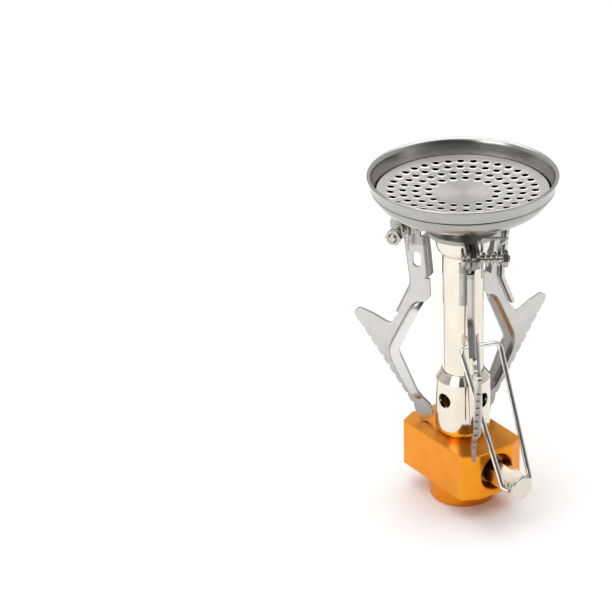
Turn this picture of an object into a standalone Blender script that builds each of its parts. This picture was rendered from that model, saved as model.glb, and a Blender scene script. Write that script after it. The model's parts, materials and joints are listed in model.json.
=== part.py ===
"""Folding upright canister stove, as separate pieces with working joints.

Origin: centre of the canister collar's lower face. +Z runs up the mixing tube, and the valve
spindle points along -Y. Each pot support is drawn in its own upright plane through the tube's
axis: x outwards from its pivot, y across the sheet towards the spring side, z up.
"""

import math

import bmesh
import bpy
from mathutils import Matrix, Vector

MM = 0.001

# Clearances, in millimetres like every size below
REST_GAP = 0.3
RUNNING_GAP = 0.15

# Canister collar and valve block, heights from the collar's lower face
COLLAR_RADIUS = 8.9
COLLAR_HEIGHT = 6.2
SOCKET_RADIUS = 5.6
SOCKET_DEPTH = 8.8
BLOCK_TOP = 19.5
BLOCK_HALF_LENGTH = 15.6
BLOCK_SIDES = {-1: 10.4, 1: 9.4}
CORNER_ALONG = 2.45
CORNER_ACROSS = 4.6

# Valve spindle, distances outwards from the tube's axis
SPINDLE_HEIGHT = 12.85
SEAT_RADIUS = 0.8
CHAMBER_START = 1.6
CHAMBER_RADIUS = 3.2
GLAND_BORE_START = 7.0
GLAND_BORE_RADIUS = 4.0
RECESS_START = 10.0
RECESS_RADIUS = 5.05
SHAFT_RADIUS = 2.0
KNOB_START = 13.5
KNOB_END = 26.6
KNOB_ACROSS_FLATS = 6.2
KNOB_BORE_END = 22.0
HANDLE_PIVOT = 24.2

# Wire handle
HANDLE_WIRE_RADIUS = 0.72
HANDLE_LENGTHS = {-1: 39.2, 1: 37.7}
HANDLE_FOOT_HALF_WIDTH = 4.45
HANDLE_TOP_HALF_WIDTH = 6.3
HANDLE_LEAN_DEG = 25.6

# Gas jet, probe and seal
JET_BORE_RADIUS = 2.6
JET_BORE_FLOOR = 15.9
JET_TIP = 27.0
PROBE_BORE_RADIUS = 2.1
PROBE_BORE_TOP = 10.6
PROBE_TIP = 4.7

# Tubes
SLEEVE_RADIUS = 7.35
SLEEVE_WALL = 0.85
SLEEVE_TOP = 35.5
SLEEVE_CONE_TOP = 37.7
AIR_HOLE_RADIUS = 2.1
AIR_HOLE_HEIGHT = 30.4
AIR_HOLE_TURN_DEG = 10.8
TUBE_RADIUS = 5.5
TUBE_WALL = 0.7
TUBE_BOTTOM = 33.2
TUBE_TOP = 74.0
NECK_BOTTOM = 71.3
NECK_TOP = 77.3
NECK_RADIUS = 7.2

# Burner
THROAT_BOTTOM = 74.4
BRACKET_BOTTOM = 77.6
BRACKET_THICKNESS = 1.4
BRACKET_RING_RADIUS = 9.5
BOWL_BOTTOM = 84.1
RIM_RADIUS = 25.0
RIM_TOP = 94.1
BOWL_WALL = 0.9
PLATE_TOP = 89.2
PLATE_THICKNESS = 0.8
PLATE_RADIUS = 22.6
PORT_RADIUS = 0.8
PORT_RINGS = ((8.9, 17), (12.2, 23), (15.6, 29), (18.9, 35))

# Pot supports: pivots, and the direction of each one round the tube
PIVOT_RADIUS = 16.1
PIVOT_HEIGHT = 76.9
SUPPORTS = {"left": (122.8, 0.0, 0.0), "right": (2.8, -1.0, 2.5), "front": (-121.0, 8.0, 1.1)}
SHEET = 1.1
PIN_RADIUS = 1.0
CHEEK_INNER = 0.85
CHEEK_OUTER = 1.85
CHEEK_RADIUS = 2.6
SLOT_END_RADIUS = 11.3
TOOTH_PITCH = 3.15
TOOTH_DEPTH = 0.5
LIP_RISE = 1.4

# Pivot hardware, distances along the pivot from the support's sheet
SCREW_HEAD_RADIUS = 1.85
SCREW_HEAD_END = -3.1
SCREW_END = 9.6
SPRING_START = 2.6
SPRING_END = 6.9
SPRING_RADIUS = 1.55
SPRING_WIRE_RADIUS = 0.36
SPRING_TURNS = 3
SPRING_LOOP_END = 9.2
SPRING_LOOP_TOP = 5.0
NUT_START = 7.5
NUT_END = 9.1
NUT_ACROSS_FLATS = 4.0

# Facets round a turn
LARGE_TURN = 48
MEDIUM_TURN = 32
SMALL_TURN = 16
PORT_TURN = 6


# ---------------------------------------------------------------- materials

def make_material(name, colour, roughness, metallic):
    material = bpy.data.materials.new(name)
    material.use_nodes = True
    shader = material.node_tree.nodes["Principled BSDF"]
    shader.inputs["Base Color"].default_value = (*colour, 1.0)
    shader.inputs["Roughness"].default_value = roughness
    shader.inputs["Metallic"].default_value = metallic
    return material


# ---------------------------------------------------------------- mesh helpers

def mesh_from(bm):
    """Turn a bmesh, drawn in millimetres, into a closed mesh in metres."""
    bmesh.ops.remove_doubles(bm, verts=bm.verts, dist=0.0005)
    bmesh.ops.recalc_face_normals(bm, faces=bm.faces)
    bmesh.ops.scale(bm, vec=(MM, MM, MM), verts=bm.verts)
    mesh = bpy.data.meshes.new("solid")
    bm.to_mesh(mesh)
    bm.free()
    return mesh


def turned(profile, segments, closed=True):
    """A profile of (radius, height) points spun round Z; an open one ends on the axis."""
    bm = bmesh.new()
    points = [bm.verts.new((radius, 0.0, height)) for radius, height in profile]
    edges = [bm.edges.new(pair) for pair in zip(points, points[1:])]
    if closed:
        edges.append(bm.edges.new((points[-1], points[0])))
    bmesh.ops.spin(
        bm,
        geom=points + edges,
        cent=(0.0, 0.0, 0.0),
        axis=(0.0, 0.0, 1.0),
        angle=math.tau,
        steps=segments,
        use_merge=True,
    )
    return mesh_from(bm)


def ring_section(ring_radius, height, wire_radius, points):
    """A circular section for a turned ring."""
    section = []
    for index in range(points):
        angle = math.tau * index / points
        section.append((ring_radius + wire_radius * math.cos(angle), height + wire_radius * math.sin(angle)))
    return section


def rod(radius, bottom, top, segments, first_angle=0.0):
    """A plain prism round Z, from one height to another."""
    circle = []
    for index in range(segments):
        angle = first_angle + math.tau * index / segments
        circle.append((radius * math.cos(angle), radius * math.sin(angle)))
    return extruded(circle, bottom, top)


def hexagon(across_flats, bottom, top):
    return rod(across_flats / 2 / math.cos(math.pi / 6), bottom, top, 6, math.pi / 6)


def extruded(outline, bottom, top):
    """An outline in X and Y, extruded along Z."""
    bm = bmesh.new()
    face = bm.faces.new([bm.verts.new((x, y, bottom)) for x, y in outline])
    grown = bmesh.ops.extrude_face_region(bm, geom=[face])
    lifted = [item for item in grown["geom"] if isinstance(item, bmesh.types.BMVert)]
    bmesh.ops.translate(bm, vec=(0.0, 0.0, top - bottom), verts=lifted)
    return mesh_from(bm)


def swept(path, radius, sides):
    """A round wire along a path of points, with flat ends."""
    points = [Vector(point) for point in path]
    bm = bmesh.new()
    rings = []
    normal = (points[1] - points[0]).orthogonal().normalized()
    for index, point in enumerate(points):
        before = points[max(index - 1, 0)]
        after = points[min(index + 1, len(points) - 1)]
        along = (after - before).normalized()
        normal = (normal - along * normal.dot(along)).normalized()
        side = along.cross(normal)
        ring = []
        for step in range(sides):
            angle = math.tau * step / sides
            offset = normal * math.cos(angle) + side * math.sin(angle)
            ring.append(bm.verts.new(point + offset * radius))
        rings.append(ring)
    for low, high in zip(rings, rings[1:]):
        for step in range(sides):
            following = (step + 1) % sides
            bm.faces.new((low[step], low[following], high[following], high[step]))
    bm.faces.new(reversed(rings[0]))
    bm.faces.new(rings[-1])
    return mesh_from(bm)


def rounded_path(corners, steps):
    """A path through (point, bend radius) corners, each bend an even curve."""
    path = [Vector(corners[0][0])]
    for before, corner, after in zip(corners, corners[1:], corners[2:]):
        point = Vector(corner[0])
        reach = corner[1]
        if reach == 0.0:
            path.append(point)
            continue
        start = point + (Vector(before[0]) - point).normalized() * reach
        end = point + (Vector(after[0]) - point).normalized() * reach
        for step in range(steps + 1):
            part = step / steps
            path.append(start * (1 - part) ** 2 + point * 2 * part * (1 - part) + end * part ** 2)
    path.append(Vector(corners[-1][0]))
    return path


def moved(mesh, matrix):
    mesh.transform(matrix)
    return mesh


def toward_spindle(mesh):
    """Turn a piece drawn round Z to lie along the valve spindle."""
    place = Matrix.Translation((0.0, 0.0, SPINDLE_HEIGHT * MM)) @ Matrix.Rotation(math.pi / 2, 4, "X")
    return moved(mesh, place)


def across_sheet(mesh):
    """Turn a piece drawn round Z to lie along a pivot, +Z becoming +Y and X staying outwards."""
    return moved(mesh, Matrix.Rotation(-math.pi / 2, 4, "X"))


def combine(mesh, tool, operation):
    """Join, cut or keep what two closed meshes share, with the exact solver."""
    body = bpy.data.objects.new("body", mesh)
    cutter = bpy.data.objects.new("cutter", tool)
    for item in (body, cutter):
        bpy.context.scene.collection.objects.link(item)
    boolean = body.modifiers.new("cut", "BOOLEAN")
    boolean.object = cutter
    boolean.operation = operation
    boolean.solver = "EXACT"
    graph = bpy.context.evaluated_depsgraph_get()
    result = bpy.data.meshes.new_from_object(body.evaluated_get(graph))
    for item in (body, cutter):
        bpy.data.objects.remove(item)
    return result


def cut(mesh, *tools):
    for tool in tools:
        mesh = combine(mesh, tool, "DIFFERENCE")
    return mesh


def joined(mesh, *tools):
    for tool in tools:
        mesh = combine(mesh, tool, "UNION")
    return mesh


def gathered(meshes):
    """Several solids that stay apart, as one mesh to cut or join with."""
    bm = bmesh.new()
    for mesh in meshes:
        bm.from_mesh(mesh)
    result = bpy.data.meshes.new("gathered")
    bm.to_mesh(result)
    bm.free()
    return result


def place(name, mesh, material, parent=None, at=(0.0, 0.0, 0.0)):
    """Make the named piece; its origin is at the given point, in millimetres."""
    origin = Vector(at) * MM
    own = mesh.copy()
    own.name = name
    own.transform(Matrix.Translation(-origin))
    own.materials.clear()
    own.materials.append(material)
    own.shade_smooth()
    own.set_sharp_from_angle(angle=math.radians(35))
    piece = bpy.data.objects.new(name, own)
    piece.location = origin
    piece.parent = parent
    bpy.context.scene.collection.objects.link(piece)
    return piece


# ---------------------------------------------------------------- valve block

def valve_body():
    end = BLOCK_HALF_LENGTH
    plan = []
    for x_sign, y_sign in ((1, 1), (-1, 1), (-1, -1), (1, -1)):
        side = BLOCK_SIDES[x_sign]
        corner = [(side * x_sign, (end - CORNER_ALONG) * y_sign), ((side - CORNER_ACROSS) * x_sign, end * y_sign)]
        plan += corner if x_sign == y_sign else corner[::-1]
    block = extruded(plan, COLLAR_HEIGHT, BLOCK_TOP)
    collar = rod(COLLAR_RADIUS, 0.0, COLLAR_HEIGHT + 1.0, LARGE_TURN)
    bores = [
        rod(SOCKET_RADIUS, -1.0, SOCKET_DEPTH, MEDIUM_TURN),
        rod(PROBE_BORE_RADIUS, SOCKET_DEPTH - 1.0, PROBE_BORE_TOP, SMALL_TURN),
        rod(SEAT_RADIUS, SPINDLE_HEIGHT, JET_BORE_FLOOR + 1.0, SMALL_TURN),
        rod(JET_BORE_RADIUS, JET_BORE_FLOOR, BLOCK_TOP + 1.0, SMALL_TURN),
        toward_spindle(rod(SEAT_RADIUS, -SEAT_RADIUS, CHAMBER_START + 1.0, SMALL_TURN)),
        toward_spindle(rod(CHAMBER_RADIUS, CHAMBER_START, GLAND_BORE_START + 1.0, SMALL_TURN)),
        toward_spindle(rod(GLAND_BORE_RADIUS, GLAND_BORE_START, RECESS_START + 1.0, MEDIUM_TURN)),
        toward_spindle(rod(RECESS_RADIUS, RECESS_START, BLOCK_HALF_LENGTH + 1.0, MEDIUM_TURN)),
    ]
    return cut(joined(block, collar), *bores)


def valve_probe():
    bore = 0.5
    pin = 1.25
    flange = 2.9
    shank = PROBE_BORE_RADIUS - REST_GAP
    flange_top = SOCKET_DEPTH - REST_GAP
    profile = [
        (bore, PROBE_TIP),
        (pin, PROBE_TIP),
        (pin, flange_top - 1.2),
        (flange, flange_top - 1.2),
        (flange, flange_top),
        (shank, flange_top),
        (shank, PROBE_BORE_TOP - REST_GAP),
        (bore, PROBE_BORE_TOP - REST_GAP),
    ]
    return turned(profile, SMALL_TURN)


def canister_seal():
    wire = 0.8
    ring = SOCKET_RADIUS - REST_GAP - wire
    return turned(ring_section(ring, SOCKET_DEPTH - REST_GAP - wire, wire, 8), 24)


def gas_jet():
    bore = 0.45
    shank = JET_BORE_RADIUS - REST_GAP
    hexagon_bottom = BLOCK_TOP + REST_GAP
    hexagon_top = hexagon_bottom + 3.0
    nose = 1.7
    profile = [
        (bore, JET_BORE_FLOOR + REST_GAP),
        (shank, JET_BORE_FLOOR + REST_GAP),
        (shank, hexagon_top - 0.5),
        (nose, hexagon_top + 1.0),
        (nose, JET_TIP - 0.8),
        (nose / 2, JET_TIP),
        (bore, JET_TIP),
    ]
    nut = cut(hexagon(5.5, hexagon_bottom, hexagon_top), rod(1.0, 0.0, JET_TIP, SMALL_TURN))
    return joined(turned(profile, SMALL_TURN), nut)


# ---------------------------------------------------------------- spindle, knob and handle

def spindle():
    body = CHAMBER_RADIUS - 2 * REST_GAP
    groove = 1.6
    profile = [
        (0.0, 1.0),
        (0.2, 1.0),
        (1.0, 3.0),
        (body, 3.0),
        (body, 4.0),
        (groove, 4.0),
        (groove, 5.6),
        (body, 5.6),
        (body, 6.3),
        (SHAFT_RADIUS, 6.3),
        (SHAFT_RADIUS, KNOB_BORE_END - 0.5),
        (0.0, KNOB_BORE_END - 0.5),
    ]
    return toward_spindle(turned(profile, SMALL_TURN, closed=False))


def spindle_o_ring():
    return toward_spindle(turned(ring_section(2.4, 4.8, 0.55, 6), 20))


def spindle_gland():
    shank = GLAND_BORE_RADIUS - REST_GAP
    head = hexagon(8.2, RECESS_START + REST_GAP, RECESS_START + 2.8)
    thread = rod(shank, GLAND_BORE_START, RECESS_START + 1.0, MEDIUM_TURN)
    bore = rod(SHAFT_RADIUS + 0.25, 0.0, KNOB_START, SMALL_TURN)
    return toward_spindle(cut(joined(head, thread), bore))


def control_knob():
    bar = hexagon(KNOB_ACROSS_FLATS, KNOB_START, KNOB_END)
    bore = rod(SHAFT_RADIUS + RUNNING_GAP, 0.0, KNOB_BORE_END, SMALL_TURN)
    hole = rod(HANDLE_WIRE_RADIUS + RUNNING_GAP, -KNOB_ACROSS_FLATS, KNOB_ACROSS_FLATS, SMALL_TURN)
    cross = Matrix.Translation((0.0, 0.0, HANDLE_PIVOT * MM)) @ Matrix.Rotation(math.pi / 2, 4, "Y")
    return toward_spindle(cut(bar, bore, moved(hole, cross)))


def wire_handle():
    foot = HANDLE_FOOT_HALF_WIDTH
    top = HANDLE_TOP_HALF_WIDTH
    corners = [
        ((-0.5, 0.0, 0.0), 0.0),
        ((-foot, 0.0, 0.0), 1.1),
        ((-top, 0.0, HANDLE_LENGTHS[-1]), 1.8),
        ((top, 0.0, HANDLE_LENGTHS[1]), 1.8),
        ((foot, 0.0, 0.0), 1.1),
        ((0.5, 0.0, 0.0), 0.0),
    ]
    wire = swept(rounded_path(corners, 4), HANDLE_WIRE_RADIUS, 8)
    lean = Matrix.Rotation(math.radians(-HANDLE_LEAN_DEG), 4, "X")
    pivot = Matrix.Translation((0.0, -HANDLE_PIVOT * MM, SPINDLE_HEIGHT * MM))
    return moved(wire, pivot @ lean)


# ---------------------------------------------------------------- tubes

def air_sleeve():
    outer = SLEEVE_RADIUS
    inner = outer - SLEEVE_WALL
    bottom = BLOCK_TOP + REST_GAP
    grip = TUBE_RADIUS + RUNNING_GAP
    profile = [
        (inner - 0.3, bottom),
        (outer - 1.1, bottom),
        (outer - 0.3, bottom + 0.5),
        (outer, bottom + 1.5),
        (outer, SLEEVE_TOP),
        (grip + 0.5, SLEEVE_CONE_TOP),
        (grip, SLEEVE_CONE_TOP),
        (grip, SLEEVE_TOP),
        (inner, SLEEVE_TOP - 1.0),
        (inner, bottom + 1.5),
    ]
    sleeve = turned(profile, LARGE_TURN)
    for quarter in (0, 90):
        hole = rod(AIR_HOLE_RADIUS, -2 * outer, 2 * outer, SMALL_TURN)
        lie = Matrix.Rotation(math.pi / 2, 4, "Y")
        turn = Matrix.Rotation(math.radians(AIR_HOLE_TURN_DEG + quarter), 4, "Z")
        lift = Matrix.Translation((0.0, 0.0, AIR_HOLE_HEIGHT * MM))
        sleeve = cut(sleeve, moved(hole, lift @ turn @ lie))
    return sleeve


def mixing_tube():
    inner = TUBE_RADIUS - TUBE_WALL
    profile = [(inner, TUBE_BOTTOM), (TUBE_RADIUS, TUBE_BOTTOM), (TUBE_RADIUS, TUBE_TOP), (inner, TUBE_TOP)]
    return turned(profile, MEDIUM_TURN)


def neck_socket():
    bore = TUBE_RADIUS + REST_GAP
    profile = [
        (bore, NECK_BOTTOM),
        (bore + 0.35, NECK_BOTTOM),
        (NECK_RADIUS - 0.5, NECK_BOTTOM + 1.3),
        (NECK_RADIUS - 0.1, NECK_BOTTOM + 2.6),
        (NECK_RADIUS, NECK_BOTTOM + 4.0),
        (NECK_RADIUS, NECK_TOP),
        (bore, NECK_TOP),
    ]
    return turned(profile, MEDIUM_TURN)


# ---------------------------------------------------------------- burner

def burner_bowl():
    throat = TUBE_RADIUS
    bore = throat - TUBE_WALL
    ledge = PLATE_TOP - PLATE_THICKNESS - REST_GAP
    profile = [
        (bore, THROAT_BOTTOM),
        (throat, THROAT_BOTTOM),
        (throat, BOWL_BOTTOM - 0.8),
        (throat + 0.8, BOWL_BOTTOM),
        (14.6, BOWL_BOTTOM),
        (18.2, 84.8),
        (20.9, 86.1),
        (22.6, 87.8),
        (23.2, 89.3),
        (23.6, 89.4),
        (24.6, 92.8),
        (RIM_RADIUS, 93.4),
        (RIM_RADIUS - 0.1, RIM_TOP - 0.2),
        (RIM_RADIUS - 0.5, RIM_TOP),
        (RIM_RADIUS - 0.9, RIM_TOP - 0.4),
        (PLATE_RADIUS + REST_GAP, PLATE_TOP),
        (PLATE_RADIUS + REST_GAP, ledge),
        (21.5, ledge),
        (20.1, 86.8),
        (17.8, 85.6),
        (14.4, BOWL_BOTTOM + BOWL_WALL),
        (bore, BOWL_BOTTOM + BOWL_WALL),
    ]
    return turned(profile, LARGE_TURN)


def burner_plate():
    plate = rod(PLATE_RADIUS, PLATE_TOP - PLATE_THICKNESS, PLATE_TOP, LARGE_TURN)
    ports = []
    for radius, count in PORT_RINGS:
        for index in range(count):
            angle = math.tau * index / count
            port = rod(PORT_RADIUS, PLATE_TOP - 2.0, PLATE_TOP + 1.0, PORT_TURN, angle)
            centre = Matrix.Translation((radius * MM * math.cos(angle), radius * MM * math.sin(angle), 0.0))
            ports.append(moved(port, centre))
    return cut(plate, gathered(ports))


# ---------------------------------------------------------------- pot supports

def support_matrix(direction_deg, swing_deg, offset):
    """From a support's own axes to the stove's; a swing moves the support's foot outwards."""
    turn = Matrix.Rotation(math.radians(direction_deg), 4, "Z")
    out = Matrix.Translation((PIVOT_RADIUS * MM, offset * MM, PIVOT_HEIGHT * MM))
    return turn @ out @ Matrix.Rotation(math.radians(-swing_deg), 4, "Y")


def in_support(points):
    """Points given by radius from the tube's axis and height, moved to the pivot."""
    return [(radius - PIVOT_RADIUS, height - PIVOT_HEIGHT) for radius, height in points]


def upright(outline, low, high):
    """An outline in a support's x and z, given thickness across the sheet."""
    mesh = extruded([(x, -z) for x, z in outline], low, high)
    return across_sheet(mesh)


def serrated_edge(start, end):
    """Shallow saw teeth along a straight edge."""
    start = Vector(start)
    run = Vector(end) - start
    count = round(run.length / TOOTH_PITCH)
    along = run / count
    inwards = Vector((-run.y, run.x)).normalized()
    if inwards.x > 0.0:
        inwards = -inwards
    points = []
    for tooth in range(count):
        corner = start + along * tooth
        points.append(tuple(corner))
        points.append(tuple(corner + along * 0.6))
        points.append(tuple(corner + along * 0.8 + inwards * TOOTH_DEPTH))
    points.append(tuple(end))
    return points


def between(start, end, count):
    """Evenly spaced points from one to another, both included."""
    points = []
    for index in range(count):
        part = index / (count - 1)
        points.append(tuple(Vector(start).lerp(Vector(end), part)))
    return points


def support_sheet():
    """The stamped sheet with its raised lip; the lip and the sheet share the bend line."""
    bend = [
        (13.2, 26.4),
        (15.5, 28.2),
        (17.8, 31.6),
        (19.7, 34.7),
        (21.2, 38.6),
        (20.3, 42.3),
        (17.9, 47.2),
        (15.3, 52.2),
        (13.0, 55.1),
    ]
    lip = between((11.2, 26.8), (17.9, 40.3), 5) + between((17.9, 40.3), (11.1, 54.7), 5)[1:]
    outer = [
        (11.1, 54.7),
        (9.05, 57.0),
        (9.35, 62.0),
        (10.6, 75.0),
        (12.4, 76.5),
        (13.9, 78.6),
        (16.0, 79.3),
        (18.6, 79.2),
        (20.1, 78.4),
        (20.3, 77.0),
        (20.1, 75.7),
        (18.8, 74.7),
        (16.55, 73.9),
        (14.87, 60.1),
        (19.1, 50.9),
        (20.0, 48.6),
        (21.2, 47.8),
        (22.5, 48.0),
        (26.4, 49.6),
        (29.1, 50.1),
        (30.6, 49.7),
        (31.0, 48.7),
    ]
    foot = [
        (13.3, 22.2),
        (12.3, 21.6),
        (12.1, 20.0),
        (10.8, 19.8),
        (9.4, 20.8),
        (8.7, 22.2),
        (9.4, 24.9),
        (11.2, 26.8),
    ]
    border = outer + serrated_edge((29.8, 46.7), (14.0, 24.1)) + foot
    bm = bmesh.new()
    half = SHEET / 2

    def vertex(point, rise=0.0):
        x, z = in_support([point])[0]
        return bm.verts.new((x, rise - half, z))

    bend_verts = [vertex(point) for point in bend]
    border_verts = [vertex(point) for point in border]
    lip_verts = [vertex(point, LIP_RISE) for point in lip[1:-1]]
    lip_verts = [border_verts[-1]] + lip_verts + [border_verts[0]]
    bm.faces.new(border_verts + bend_verts)
    for index in range(len(bend_verts) - 1):
        bm.faces.new((lip_verts[index], bend_verts[index], bend_verts[index + 1], lip_verts[index + 1]))
    bm.normal_update()
    bmesh.ops.triangulate(bm, faces=list(bm.faces))
    grown = bmesh.ops.extrude_face_region(bm, geom=list(bm.faces))
    lifted = [item for item in grown["geom"] if isinstance(item, bmesh.types.BMVert)]
    bmesh.ops.translate(bm, vec=(0.0, SHEET, 0.0), verts=lifted)
    return mesh_from(bm)


def pot_support():
    inner_flange = in_support([(10.7, 74.7), (9.5, 62.7), (10.6, 62.5), (11.8, 74.5)])
    outer_flange = in_support(
        [(16.4, 73.5), (14.75, 60.1), (19.0, 51.0), (18.05, 50.5), (13.6, 60.05), (15.3, 73.6)]
    )
    sheet = joined(
        support_sheet(),
        upright(inner_flange, -3.3, -0.2),
        upright(outer_flange, -1.8, -0.2),
    )
    pin_hole = across_sheet(rod(PIN_RADIUS + RUNNING_GAP, -3.0, 3.0, SMALL_TURN))
    slot = []
    for end, first in ((1.0, 0.0), (-1.0, math.pi)):
        for step in range(7):
            angle = first + math.pi * step / 6
            slot.append((1.2 * math.cos(angle), end + 1.2 * math.sin(angle)))
    slot_centre = in_support([(12.9, 67.5)])[0]
    slot_outline = [(slot_centre[0] + x, slot_centre[1] + z) for x, z in slot]
    return cut(sheet, pin_hole, upright(slot_outline, -3.0, 3.0))


def support_bracket():
    top = BRACKET_BOTTOM + BRACKET_THICKNESS
    ring = rod(BRACKET_RING_RADIUS, BRACKET_BOTTOM, top, LARGE_TURN)
    arms = []
    slots = []
    holes = []
    for direction, _swing, offset in SUPPORTS.values():
        at = support_matrix(direction, 0.0, offset)
        cheek = in_support([(8.0, BRACKET_BOTTOM + 0.1), (8.0, top - 0.1)])
        outline = [cheek[0], cheek[1]]
        for step in range(11):
            angle = math.radians(95 - 22 * step)
            outline.append((CHEEK_RADIUS * math.cos(angle), CHEEK_RADIUS * math.sin(angle)))
        arms.append(moved(upright(outline, -CHEEK_OUTER, CHEEK_OUTER), at))
        inner = SLOT_END_RADIUS - PIVOT_RADIUS
        opening = [(inner, -6.0), (inner, 6.0), (6.0, 6.0), (6.0, -6.0)]
        slots.append(moved(upright(opening, -CHEEK_INNER, CHEEK_INNER), at))
        pin_hole = rod(PIN_RADIUS + RUNNING_GAP, -4.0, 4.0, SMALL_TURN)
        holes.append(moved(across_sheet(pin_hole), at))
    bracket = joined(ring, gathered(arms))
    throat_hole = rod(TUBE_RADIUS + REST_GAP, BRACKET_BOTTOM - 2.0, top + 2.0, MEDIUM_TURN)
    return cut(bracket, gathered(slots), gathered(holes), throat_hole)


def pivot_screw():
    head_start = SCREW_HEAD_END + 0.95
    profile = [
        (0.0, SCREW_HEAD_END),
        (SCREW_HEAD_RADIUS - 0.4, SCREW_HEAD_END),
        (SCREW_HEAD_RADIUS, SCREW_HEAD_END + 0.4),
        (SCREW_HEAD_RADIUS, head_start),
        (PIN_RADIUS, head_start),
        (PIN_RADIUS, SCREW_END - 0.3),
        (PIN_RADIUS - 0.3, SCREW_END),
        (0.0, SCREW_END),
    ]
    return across_sheet(turned(profile, SMALL_TURN, closed=False))


def pivot_nut():
    nut = hexagon(NUT_ACROSS_FLATS, NUT_START, NUT_END)
    return across_sheet(cut(nut, rod(PIN_RADIUS + RUNNING_GAP, 0.0, SCREW_END + 1.0, SMALL_TURN)))


def torsion_spring():
    """One leg runs down beside the support; the other loops back over the coil towards the neck."""
    steps_per_turn = 11
    coil = []
    for step in range(SPRING_TURNS * steps_per_turn + 1):
        turn = step / steps_per_turn
        angle = math.pi - math.tau * turn
        along = SPRING_START + (SPRING_END - SPRING_START) * turn / SPRING_TURNS
        coil.append((SPRING_RADIUS * math.cos(angle), along, SPRING_RADIUS * math.sin(angle)))
    leg_x = -SPRING_RADIUS
    over = [
        (coil[-1], 0.0),
        ((leg_x, SPRING_END, 2.4), 0.5),
        ((leg_x, SPRING_LOOP_END, SPRING_LOOP_TOP), 0.6),
        ((leg_x - 0.6, SPRING_START, SPRING_LOOP_TOP), 0.8),
        ((leg_x - 0.6, SPRING_START, 1.0), 0.8),
        ((leg_x - 3.0, SPRING_START, 0.2), 0.0),
    ]
    path = [(leg_x, SPRING_START, -6.0), (leg_x, SPRING_START, -1.0)] + coil + rounded_path(over, 3)[1:]
    return swept(path, SPRING_WIRE_RADIUS, 6)


# ---------------------------------------------------------------- assembly

def build():
    for old in list(bpy.data.objects):
        bpy.data.objects.remove(old, do_unlink=True)

    anodised = make_material("orange_anodised", (0.86, 0.36, 0.08), 0.32, 1.0)
    polished = make_material("polished_nickel", (0.86, 0.80, 0.71), 0.08, 1.0)
    spun = make_material("spun_steel", (0.62, 0.61, 0.60), 0.30, 1.0)
    sheet = make_material("satin_steel", (0.66, 0.66, 0.67), 0.28, 1.0)
    bright = make_material("bright_steel", (0.75, 0.75, 0.76), 0.15, 1.0)
    brass = make_material("brass", (0.78, 0.60, 0.28), 0.30, 1.0)
    rubber = make_material("black_rubber", (0.02, 0.02, 0.02), 0.70, 0.0)

    place("valve_body", valve_body(), anodised)
    place("valve_probe", valve_probe(), brass)
    place("canister_seal", canister_seal(), rubber)
    place("gas_jet", gas_jet(), brass)
    place("spindle_gland", spindle_gland(), brass)
    place("air_sleeve", air_sleeve(), polished)
    place("mixing_tube", mixing_tube(), polished)
    place("neck_socket", neck_socket(), polished)
    place("burner_bowl", burner_bowl(), spun)
    place("burner_plate", burner_plate(), spun)
    place("support_bracket", support_bracket(), sheet)

    spindle_axis = (0.0, -HANDLE_PIVOT, SPINDLE_HEIGHT)
    place("spindle_o_ring", spindle_o_ring(), rubber, at=spindle_axis)
    place("spindle", spindle(), bright, at=spindle_axis)
    place("control_knob", control_knob(), polished, at=spindle_axis)
    place("wire_handle", wire_handle(), bright, at=spindle_axis)

    pieces = {
        "pot_support": (pot_support(), sheet),
        "pivot_screw": (pivot_screw(), bright),
        "torsion_spring": (torsion_spring(), bright),
        "pivot_nut": (pivot_nut(), bright),
    }
    for side, (direction, swing, offset) in SUPPORTS.items():
        for kind, (mesh, material) in pieces.items():
            piece = place(f"{kind}_{side}", mesh, material)
            turn = swing if kind == "pot_support" else 0.0
            piece.matrix_world = support_matrix(direction, turn, offset)


build()
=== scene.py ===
"""Looks of the canister stove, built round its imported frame.

Sizes are in millimetres and are turned into metres by MM. Heights run up from the collar's lower
face, and radii from the mixing tube's axis, as in the frame.
"""

import json
import math

import bmesh
import bpy
from mathutils import Matrix, Vector
from mathutils.geometry import interpolate_bezier


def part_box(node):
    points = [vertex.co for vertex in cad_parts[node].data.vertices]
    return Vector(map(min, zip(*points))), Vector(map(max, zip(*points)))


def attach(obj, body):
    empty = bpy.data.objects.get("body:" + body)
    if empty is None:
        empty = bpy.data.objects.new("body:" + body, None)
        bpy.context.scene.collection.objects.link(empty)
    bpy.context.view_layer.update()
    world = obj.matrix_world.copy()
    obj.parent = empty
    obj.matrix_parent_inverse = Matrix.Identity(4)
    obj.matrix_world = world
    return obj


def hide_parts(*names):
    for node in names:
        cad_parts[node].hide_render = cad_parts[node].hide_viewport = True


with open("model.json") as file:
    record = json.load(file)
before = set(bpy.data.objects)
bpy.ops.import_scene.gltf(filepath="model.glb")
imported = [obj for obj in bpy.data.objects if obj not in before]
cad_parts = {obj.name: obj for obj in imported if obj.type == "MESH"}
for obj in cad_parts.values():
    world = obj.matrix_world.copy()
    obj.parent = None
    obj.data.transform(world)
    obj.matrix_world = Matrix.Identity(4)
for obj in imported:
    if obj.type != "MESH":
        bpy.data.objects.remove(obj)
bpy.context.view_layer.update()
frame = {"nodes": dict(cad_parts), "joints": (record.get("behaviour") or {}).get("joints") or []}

MM = 0.001
FINE_TURN = 160
MEDIUM_TURN = 96
SMALL_TURN = 40


# ---------------------------------------------------------------- sizes from the frame

def extent(node):
    """A node's lowest and highest corners, in millimetres."""
    low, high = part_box(node)
    return low / MM, high / MM


def joint(name):
    return next(item for item in frame["joints"] if item["name"] == name)


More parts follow.
